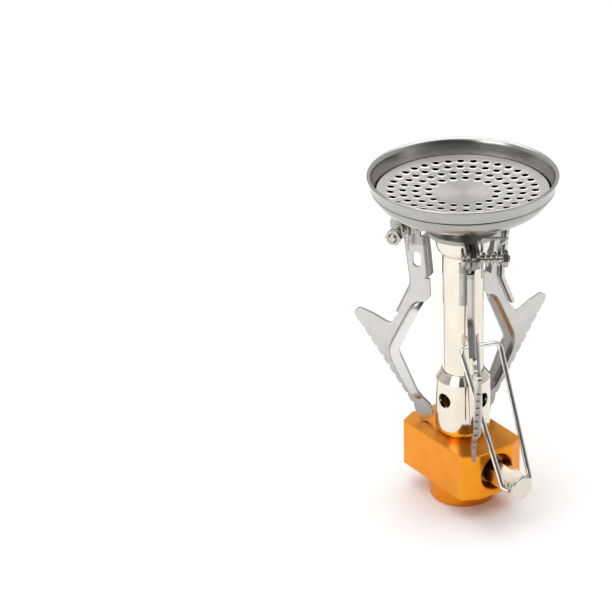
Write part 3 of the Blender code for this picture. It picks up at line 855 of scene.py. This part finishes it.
def gland_mesh():
    """A hexagon head on a plain thread, with a bore for the spindle."""
    head_corner = 4.73
    thread_radius = 3.7
    bore_radius = 2.2
    head = extruded(hexagon(head_corner, 30), RECESS_FLOOR + 0.02, RECESS_FLOOR + 2.8)
    head = softened(head, 0.25, 30)
    thread = rod(thread_radius, GLAND_START, RECESS_FLOOR + 1.0, MEDIUM_TURN)
    bore = rod(bore_radius, 0.0, -KNOB_LOW.y, SMALL_TURN)
    return toward_spindle(cut(joined(head, thread), bore))


def spindle_mesh():
    """A needle point, a groove for the o-ring and a plain shaft."""
    shaft = 2.0
    corners = [
        (0.0, 1.0), (0.2, 1.0, 0.1), (1.0, 3.0, 0.1), (2.6, 3.0, 0.1), (2.6, 4.0, 0.1),
        (1.6, 4.0), (1.6, 5.6), (2.6, 5.6, 0.1), (2.6, 6.3, 0.1), (shaft, 6.3),
        (shaft, -SPINDLE_LOW.y, 0.2), (0.0, -SPINDLE_LOW.y),
    ]
    return toward_spindle(turned(rounded(corners), SMALL_TURN, closed=False))


def knob_mesh():
    """A hexagon bar with a turned chamfer at each end and the handle's cross hole."""
    start = -KNOB_HIGH.y
    end = -KNOB_LOW.y
    across = KNOB_HIGH.x
    outside = across + 1.0
    bar = extruded(hexagon(across / math.cos(math.pi / 6), 30), start, end)
    front_cut = [(across - 0.25, end + 0.01), (outside, end - 0.7), (outside, end + 0.01)]
    back_cut = [(across - 0.2, start - 0.01), (outside, start - 0.01), (outside, start + 0.7)]
    bar = cut(bar, turned(front_cut, MEDIUM_TURN), turned(back_cut, MEDIUM_TURN))
    bar = softened(bar, 0.16, 25)
    hole_profile = [(0.0, -5.0), (1.6, -5.0), (1.6, -across - 0.3), (0.9, -across + 0.4)]
    hole_profile += [(radius, -depth) for radius, depth in reversed(hole_profile)]
    hole = turned(hole_profile, SMALL_TURN, closed=False)
    cross = lifted_to(-HANDLE_PIVOT.y) @ Matrix.Rotation(math.pi / 2, 4, "Y")
    bore_radius = 2.1
    bore_end = 22.0
    bore = rod(bore_radius, 0.0, bore_end, SMALL_TURN)
    return toward_spindle(cut(bar, moved(hole, cross), bore))


# How much lower the bail's cross wire is at its +X end, when upright
HANDLE_SLANT = 1.5


def handle_mesh():
    """A bail of round wire, drawn upright and then leant back to its rest."""
    wire = 0.72
    foot = 4.45
    top = HANDLE_HIGH.x - wire
    rise = HANDLE_HIGH.z - wire - HANDLE_PIVOT.z
    reach = HANDLE_HIGH.y - wire - HANDLE_PIVOT.y
    length = math.hypot(rise, reach)
    corners = [
        ((-0.6, 0.0, 0.0), 0.0), ((-foot, 0.0, 0.0), 1.2), ((-top, 0.0, length), 2.1),
        ((top, 0.0, length - HANDLE_SLANT), 2.1), ((foot, 0.0, 0.0), 1.2),
        ((0.6, 0.0, 0.0), 0.0),
    ]
    bail = swept(rounded_path(corners, 10), wire, 20)
    lean = Matrix.Rotation(-math.atan2(reach, rise), 4, "X")
    return moved(bail, Matrix.Translation(HANDLE_PIVOT * MM) @ lean)


# ---------------------------------------------------------------- pot supports

PIVOT_RADIUS = Vector(SUPPORT_JOINTS["left"]["pos_m"]).xy.length / MM
PIVOT_HEIGHT = SUPPORT_JOINTS["left"]["pos_m"][2] / MM
SHEET = 1.0
TOOTH_PITCH = 3.15
TOOTH_DEPTH = 0.55


def support_matrix(side, swung):
    """From a support's own axes (x outwards, y along its pivot, z up) to the stove's."""
    item = SUPPORT_JOINTS[side]
    axis = item["axis"]
    turn = Matrix.Rotation(math.atan2(axis[0], -axis[1]), 4, "Z")
    swing = math.radians(UPRIGHT_FOLD_DEG - item["range_deg"][1]) if swung else 0.0
    return Matrix.Translation(item["pos_m"]) @ turn @ Matrix.Rotation(-swing, 4, "Y")


def local(points):
    """Points given by radius and height, from the pivot; a third value is kept."""
    return [(point[0] - PIVOT_RADIUS, point[1] - PIVOT_HEIGHT, *point[2:]) for point in points]


def serrated(start, end):
    start = Vector(start)
    run = Vector(end) - start
    count = round(run.length / TOOTH_PITCH)
    along = run / count
    inwards = Vector((run.y, -run.x)).normalized()
    if inwards.x > 0.0:
        inwards = -inwards
    points = []
    for tooth in range(count):
        corner = start + along * tooth
        points.append((*corner, 0.35))
        points.append((*(corner + along * 0.62), 0.5))
        points.append((*(corner + along * 0.86 + inwards * TOOTH_DEPTH), 0.3))
    points.append((*end, 0.2))
    return points


def spaced(points, count):
    """A polyline's points, spread evenly along it."""
    lengths = [0.0]
    for first, second in zip(points, points[1:]):
        lengths.append(lengths[-1] + (Vector(second) - Vector(first)).length)
    result = []
    for index in range(count):
        wanted = lengths[-1] * index / (count - 1)
        span = max(k for k in range(len(lengths) - 1) if lengths[k] <= wanted + 1e-9)
        part = (wanted - lengths[span]) / (lengths[span + 1] - lengths[span])
        result.append(tuple(Vector(points[span]).lerp(Vector(points[span + 1]), part)))
    return result


# Points of a support's outline: radius, height and, where a corner is round, the corner's radius
LIP_BEND = (
    (12.6, 26.0), (14.6, 27.0), (16.6, 29.8), (18.8, 33.4), (20.8, 37.2),
    (20.9, 40.6), (18.9, 45.2), (16.6, 49.8), (14.6, 53.6), (12.8, 55.3), (11.4, 55.7),
)
LIP_EDGE = ((11.5, 26.6), (17.75, 40.0), (17.75, 40.7), (11.5, 54.2), (10.9, 55.2))
LIP_POINTS = 33
# Part of the way from the bend to the edge, and how far the lip is raised there
LIP_ROWS = (
    (0.0, 0.0), (0.07, 0.08), (0.14, 0.32), (0.22, 0.8),
    (0.3, 1.1), (0.4, 1.22), (0.7, 1.25), (1.0, 1.25),
)
INNER_FLANGE = ((11.8, 74.4), (10.65, 62.7))
OUTER_FLANGE = ((15.7, 73.2), (14.0, 60.0), (18.2, 50.8))
INNER_FLANGE_WIDTH = 2.4
OUTER_FLANGE_WIDTH = 0.85
BEND_RADIUS = 0.7
WEB_TOP = (
    (11.8, 74.4), (12.0, 75.7, 0.6), (13.1, 77.2, 1.0), (14.0, 78.8, 1.2), (17.4, 79.4, 2.0),
    (20.4, 78.3, 1.2), (20.3, 75.3, 1.4), (16.7, 74.0, 0.8), (15.7, 73.2),
)
WING = (
    (18.2, 50.8), (19.4, 49.5, 0.5), (20.7, 47.2, 1.5), (25.6, 49.4, 3.0),
    (29.4, 50.5, 1.5), (31.3, 49.7, 1.3), (30.6, 47.5, 0.8), (29.8, 46.7),
)
TOOTHED_EDGE = ((29.8, 46.7), (14.0, 24.1))
FOOT = (
    (14.0, 24.1), (13.4, 22.1, 0.6), (12.5, 21.8, 0.4), (12.3, 20.0, 0.5), (10.6, 19.62, 1.0),
    (9.0, 21.0, 1.0), (8.5, 22.4, 0.6), (9.4, 24.9, 1.5),
)
STEM = ((9.05, 57.0, 1.5), (9.35, 62.4, 0.2), (10.65, 62.45, 0.1), (10.65, 62.7))
PIN_HOLE_RADIUS = 1.1
SLOT_MIDDLE = (12.85, 67.6)
SLOT_HALF = 1.05
SLOT_RADIUS = 1.2


def flange_rows(width):
    """In-plane part and drop of each row across a right-angle bend and its flange."""
    rows = []
    for step in range(6):
        angle = math.pi / 2 * step / 5
        rows.append((math.sin(angle), -BEND_RADIUS * (1 - math.cos(angle))))
    rows.append((1.0, -BEND_RADIUS - width))
    return rows


def outwards(line, distance, towards_tube):
    """A line moved sideways in the sheet's plane."""
    result = []
    for index, point in enumerate(line):
        before = Vector(line[max(index - 1, 0)])
        after = Vector(line[min(index + 1, len(line) - 1)])
        along = (after - before).normalized()
        normal = Vector((along.y, -along.x))
        if (normal.x > 0.0) == towards_tube:
            normal = -normal
        result.append(tuple(Vector(point) + normal * distance))
    return result


def support_mesh():
    """Stamped sheet: a flat web, a raised lip round the inner hollow and two folded flanges."""
    bend = spaced(smooth_line(LIP_BEND, 4), LIP_POINTS)
    edge = spaced(rounded([(*p, 1.0) for p in LIP_EDGE]), LIP_POINTS)
    inner_line = spaced(INNER_FLANGE, 7)[::-1]
    outer_line = spaced(rounded([(*p, 3.0) for p in OUTER_FLANGE]), 13)
    web_top = rounded(WEB_TOP)
    wing = rounded(WING)
    teeth = rounded(serrated(*TOOTHED_EDGE), 3)
    foot = rounded([*FOOT, edge[0]])
    stem = rounded([edge[-1], *STEM])
    bm = bmesh.new()

    def vertices(points, level=0.0):
        return [bm.verts.new((x, level, z)) for x, z in [p[:2] for p in local(points)]]

    lip_base = vertices(bend)
    inner_base = vertices(inner_line)
    outer_base = vertices(outer_line)
    loop = vertices(stem[1:-1]) + inner_base + vertices(web_top[1:-1]) + outer_base
    loop += vertices(wing[1:-1]) + vertices(teeth) + vertices(foot[1:-1])
    ends = vertices([edge[0], edge[-1]])
    loop += [ends[0]] + lip_base + [ends[1]]
    edges = loop_edges(bm, loop)
    pin_hole = arc((PIVOT_RADIUS, PIVOT_HEIGHT), PIN_HOLE_RADIUS, 0, 350, 35)
    slot_x, slot_z = SLOT_MIDDLE
    slot = arc((slot_x, slot_z + SLOT_HALF), SLOT_RADIUS, 0, 180, 12)
    slot += arc((slot_x, slot_z - SLOT_HALF), SLOT_RADIUS, 180, 360, 12)
    for opening in (pin_hole, slot):
        edges += loop_edges(bm, vertices(opening))
    front = (0.0, -1.0, 0.0)
    bmesh.ops.triangle_fill(bm, use_beauty=True, use_dissolve=False, edges=edges, normal=front)

    def flap(base, line, target, rows):
        """Rows of quads from a base line on the web to a target line, dropped as rows say."""
        previous = base
        for part, drop in rows[1:]:
            row = []
            for index, (near, far) in enumerate(zip(line, target)):
                point = Vector(near).lerp(Vector(far), part)
                row.append(vertices([tuple(point)], drop[index] if isinstance(drop, list) else drop)[0])
            for index in range(len(row) - 1):
                bm.faces.new((previous[index], previous[index + 1], row[index + 1], row[index]))
            previous = row

    fade = []
    for index in range(LIP_POINTS):
        from_end = min(index, LIP_POINTS - 1 - index) / 3
        fade.append(min(1.0, from_end) ** 2 * (3 - 2 * min(1.0, from_end)))
    lip_rows = [(part, [rise * amount for amount in fade]) for part, rise in LIP_ROWS]
    flap(lip_base, bend, edge, lip_rows)
    inner_target = outwards(inner_line, BEND_RADIUS, True)
    flap(inner_base, inner_line, inner_target, flange_rows(INNER_FLANGE_WIDTH))
    outer_target = outwards(outer_line, BEND_RADIUS, False)
    flap(outer_base, outer_line, outer_target, flange_rows(OUTER_FLANGE_WIDTH))
    piece = added("sheet", mesh_from(bm, 0.001))
    thick = piece.modifiers.new("sheet", "SOLIDIFY")
    thick.thickness = SHEET * MM
    thick.offset = 0.0
    thick.use_even_offset = True
    bevelled(piece, 0.16, 60)
    return taken_off(piece)


def bracket_mesh():
    """A ring under the bowl with three forked lugs."""
    low = PIVOT_HEIGHT + 0.7
    high = low + 1.4
    bore = TUBE_HIGH.x + 0.2
    rim = 9.5
    section = rounded([(bore, low), (rim, low, 0.3), (rim, high, 0.3), (bore, high)], closed=True)
    ring = turned(section, MEDIUM_TURN)
    inner = 0.75
    outer = 1.8
    fork = 11.3 - PIVOT_RADIUS
    pin_hole = 1.12
    lug = local([(8.2, low + 0.05), (8.2, high - 0.05)])
    lug = [point[:2] for point in lug] + arc((0.0, 0.0), 2.55, 95, -125, 20)
    for side in SUPPORT_JOINTS:
        at = support_matrix(side, False)
        outline = [(x, -z) for x, z in lug]
        arm = across_sheet(extruded(outline, -outer, outer))
        gap = [(fork, -6.0), (6.0, -6.0), (6.0, 6.0), (fork, 6.0)]
        slot = across_sheet(extruded(gap, -inner, inner))
        hole = across_sheet(rod(pin_hole, -4.0, 4.0, SMALL_TURN))
        ring = joined(ring, moved(softened(cut(arm, slot, hole), 0.15, 40, 2), at))
    return ring


def screw_mesh():
    """A domed head, a plain shank and a threaded end."""
    radius = 0.98
    pitch = 0.26
    head = [(0.0, -3.1), (1.45, -3.05, 0.5), (1.85, -2.7, 0.3), (1.85, -2.15, 0.1)]
    corners = head + [(radius, -2.15), (radius, 8.7)]
    thread = []
    for turn_index in range(3):
        height = 8.75 + turn_index * pitch
        thread += [(radius - 0.12, height), (radius, height + pitch / 2)]
    tip = [(radius - 0.2, 9.6), (0.0, 9.6)]
    profile = rounded(corners) + thread + tip
    return across_sheet(turned(profile, SMALL_TURN, closed=False))


def nut_mesh():
    """A hexagon nut with turned chamfers on both faces."""
    flats = 4.0
    low = 7.5
    high = 9.1
    corner = flats / math.sqrt(3)
    inside = flats / 2 - 0.1
    outside = corner + 0.3
    body = extruded(hexagon(corner, 0), low, high)
    over = turned([(inside, high + 0.01), (outside, high - 0.35), (outside, high + 0.01)], SMALL_TURN)
    under = turned([(inside, low - 0.01), (outside, low - 0.01), (outside, low + 0.35)], SMALL_TURN)
    mouth = 1.3
    bore = 1.03
    bore_profile = [(0.0, low - 0.5), (mouth, low - 0.5), (mouth, low), (bore, low + 0.27)]
    bore_profile += [(bore, high - 0.27), (mouth, high), (mouth, high + 0.5), (0.0, high + 0.5)]
    nut = cut(body, over, under, turned(bore_profile, SMALL_TURN, closed=False))
    return across_sheet(softened(nut, 0.08, 30, 2))


def spring_mesh():
    """Three coils, with one leg beside the support and the other looped back towards the neck."""
    steps_per_turn = 32
    turns = 3
    start = 2.6
    end = 6.9
    radius = 1.55
    wire = 0.36
    coil = []
    for step in range(turns * steps_per_turn + 1):
        turn = step / steps_per_turn
        angle = math.pi - math.tau * turn
        along = start + (end - start) * turn / turns
        coil.append((radius * math.cos(angle), along, radius * math.sin(angle)))
    corners = [
        (coil[-1], 0.0), ((-radius, end, 2.4), 0.6), ((-radius, 9.2, 5.0), 0.7),
        ((-radius - 0.6, start, 5.0), 1.0), ((-radius - 0.6, start, 1.0), 1.0),
        ((-radius - 3.0, start, 0.2), 0.0),
    ]
    path = [(-radius, start, -6.0), (-radius, start, -3.0), (-radius, start, -1.0)]
    path += coil + rounded_path(corners, 8)[1:]
    return swept(path, wire, 14)


# ---------------------------------------------------------------- assembly

plate_material = port_plate_steel("burner_plate_steel", (0.63, 0.61, 0.585), (0.47, 0.455, 0.435), 0.34)
bowl_material = spun_steel("bowl_spun_steel", (0.61, 0.595, 0.57), (0.28, 0.27, 0.255), 0.2)
nickel = polished_nickel("polished_nickel_plate")
sheet_steel = satin_steel("stamped_sheet_steel", (0.63, 0.615, 0.59), (0.45, 0.435, 0.415))
# The bracket's colours are darkened as painted shade under the bowl
bracket_steel_painted_shade = spun_shader("bracket_steel_painted_shade", (0.50, 0.485, 0.46), (0.30, 0.29, 0.275), 0.28).material
wire_steel = bright_steel("bright_wire_steel", (0.90, 0.885, 0.86), (0.68, 0.665, 0.64))
knob_nickel = bright_steel("knob_nickel", (0.76, 0.70, 0.615), (0.63, 0.57, 0.49))
fastener_steel = bright_steel("fastener_steel", (0.62, 0.60, 0.56), (0.30, 0.285, 0.26))
orange = anodised("orange_gold_anodised")
jet_brass = brass("jet_brass", (0.78, 0.60, 0.30), (0.45, 0.30, 0.13))
gland_brass = brass("gland_brass", (0.34, 0.22, 0.10), (0.12, 0.075, 0.035))
black_rubber = rubber("black_rubber")

ROOT = "stove_body"
shown("bowl_shell", bowl_mesh(), bowl_material, ROOT, "spun_steel", "burner_bowl")
shown("port_plate", plate_mesh(), plate_material, ROOT, "spun_steel", "burner_plate", sharp_deg=30)
shown("neck_cup", neck_mesh(), nickel, ROOT, "polished_nickel", "neck_socket")
shown("polished_tube", tube_mesh(), nickel, ROOT, "polished_nickel", "mixing_tube")
shown("polished_sleeve", sleeve_mesh(), nickel, ROOT, "polished_nickel", "air_sleeve", sharp_deg=30)
shown("jet_nipple", jet_mesh(), jet_brass, ROOT, "brass", "gas_jet")
shown("anodised_block", block_mesh(), orange, ROOT, "orange_anodised", "valve_body", sharp_deg=30)
shown("gland_nut", gland_mesh(), gland_brass, ROOT, "brass", "spindle_gland")
shown("forked_bracket", bracket_mesh(), bracket_steel_painted_shade, ROOT, "satin_steel", "support_bracket")
shown("needle_spindle", spindle_mesh(), wire_steel, "control_spindle", "bright_steel", "spindle")
shown("hexagon_knob", knob_mesh(), knob_nickel, "control_spindle", "polished_nickel", "control_knob")
shown("wire_bail", handle_mesh(), wire_steel, "handle", "bright_steel", "wire_handle")

support = support_mesh()
small_parts = (
    ("screw", screw_mesh(), "pivot_screw"),
    ("nut", nut_mesh(), "pivot_nut"),
    ("coil", spring_mesh(), "torsion_spring"),
)
for side in SUPPORT_JOINTS:
    swung = support_matrix(side, True)
    still = support_matrix(side, False)
    body = f"{side}_support"
    node = f"pot_support_{side}"
    name = f"stamped_support_{side}"
    shown(name, support.copy(), sheet_steel, body, "satin_steel", node, matrix=swung)
    for kind, mesh, part in small_parts:
        node = f"{part}_{side}"
        shown(f"{kind}_{side}", mesh.copy(), fastener_steel, ROOT, "bright_steel", node, matrix=still)

kept_nodes = {"valve_probe": jet_brass, "canister_seal": black_rubber, "spindle_o_ring": black_rubber}
for node, material in kept_nodes.items():
    cad = frame["nodes"][node]
    cad.data.materials.clear()
    cad.data.materials.append(material)


# ---------------------------------------------------------------- stage, light and camera

CAMERA_TURN_DEG = -36.2
CAMERA_ELEVATION_DEG = 26.0
CAMERA_DISTANCE = 800.0
CAMERA_LENS = 177.8
AIM_HEIGHT = 55.95
PAN_DEG = 2.97
FLOOR_REACH = 2500
# The studio's grey, from behind the camera (0) to beyond the stove (1)
STUDIO_GREYS = ((0.0, 0.05), (0.14, 0.12), (0.3, 0.45), (0.55, 0.62), (1.0, 0.72))


def build_floor():
    reach = FLOOR_REACH
    mesh = extruded([(-reach, -reach), (reach, -reach), (reach, reach), (-reach, reach)], -20.0, -0.05)
    floor = added("pale_floor", mesh)
    shade = Shader("pale_floor", (0.9, 0.9, 0.9), 0.6, 0.0)
    tone = shade.noise(shade.scaled(1, 1, 1), 0.01, 2.0)
    shade.colour(shade.ramp(tone, (0.3, (0.88, 0.88, 0.88)), (0.7, (0.92, 0.92, 0.92))))
    mesh.materials.append(shade.material)


def area_light(name, place, target, size, power):
    light = bpy.data.lights.new(name, "AREA")
    light.shape = "RECTANGLE"
    light.size = size[0] * MM
    light.size_y = size[1] * MM
    light.energy = power
    lamp = added(name, light)
    lamp.location = Vector(place) * MM
    aim = (Vector(target) - Vector(place)).to_track_quat("-Z", "Y")
    lamp.rotation_euler = aim.to_euler()


def build_light():
    """A grey studio that is darker behind the camera, a large top light and a small key light."""
    world = bpy.data.worlds.new("studio")
    bpy.context.scene.world = world
    world.use_nodes = True
    nodes = world.node_tree.nodes
    links = world.node_tree.links
    background = nodes["Background"]
    set_inputs(background, Strength=1.0)
    place = nodes.new("ShaderNodeTexCoord")
    turn = nodes.new("ShaderNodeMapping")
    turn.vector_type = "TEXTURE"
    set_inputs(turn, Rotation=(0.0, 0.0, math.radians(CAMERA_TURN_DEG)))
    split = nodes.new("ShaderNodeSeparateXYZ")
    tone = nodes.new("ShaderNodeValToRGB")
    set_stops(tone.color_ramp, [(position, (grey, grey, grey)) for position, grey in STUDIO_GREYS])
    lift = nodes.new("ShaderNodeMapRange")
    set_inputs(lift, From_Min=-1.0, From_Max=1.0)
    links.new(place.outputs["Generated"], turn.inputs["Vector"])
    links.new(turn.outputs["Vector"], split.inputs["Vector"])
    links.new(split.outputs["Y"], lift.inputs["Value"])
    links.new(lift.outputs["Result"], tone.inputs["Fac"])
    links.new(tone.outputs["Color"], background.inputs["Color"])
    middle = (0.0, 0.0, 50.0)
    area_light("top", (0.0, 40.0, 760.0), middle, (1200.0, 1200.0), 7.4)
    area_light("key", (-620.0, -160.0, 420.0), middle, (420.0, 420.0), 1.4)


def build_camera():
    """The stove stands right of the picture's middle, so the camera is panned left of it."""
    data = bpy.data.cameras.new("camera")
    data.lens = CAMERA_LENS
    data.sensor_width = 36.0
    camera = added("camera", data)
    turn = math.radians(CAMERA_TURN_DEG)
    rise = math.radians(CAMERA_ELEVATION_DEG)
    back = Vector((math.sin(turn) * math.cos(rise), -math.cos(turn) * math.cos(rise), math.sin(rise)))
    target = Vector((0.0, 0.0, AIM_HEIGHT))
    aim = (-back).to_track_quat("-Z", "Y").to_matrix().to_4x4()
    pan = Matrix.Rotation(math.radians(PAN_DEG), 4, "Y")
    camera.matrix_world = Matrix.Translation((target + back * CAMERA_DISTANCE) * MM) @ aim @ pan
    data.clip_start = 0.01
    bpy.context.scene.camera = camera


build_floor()
build_light()
build_camera()
bpy.context.scene.view_settings.view_transform = "Standard"
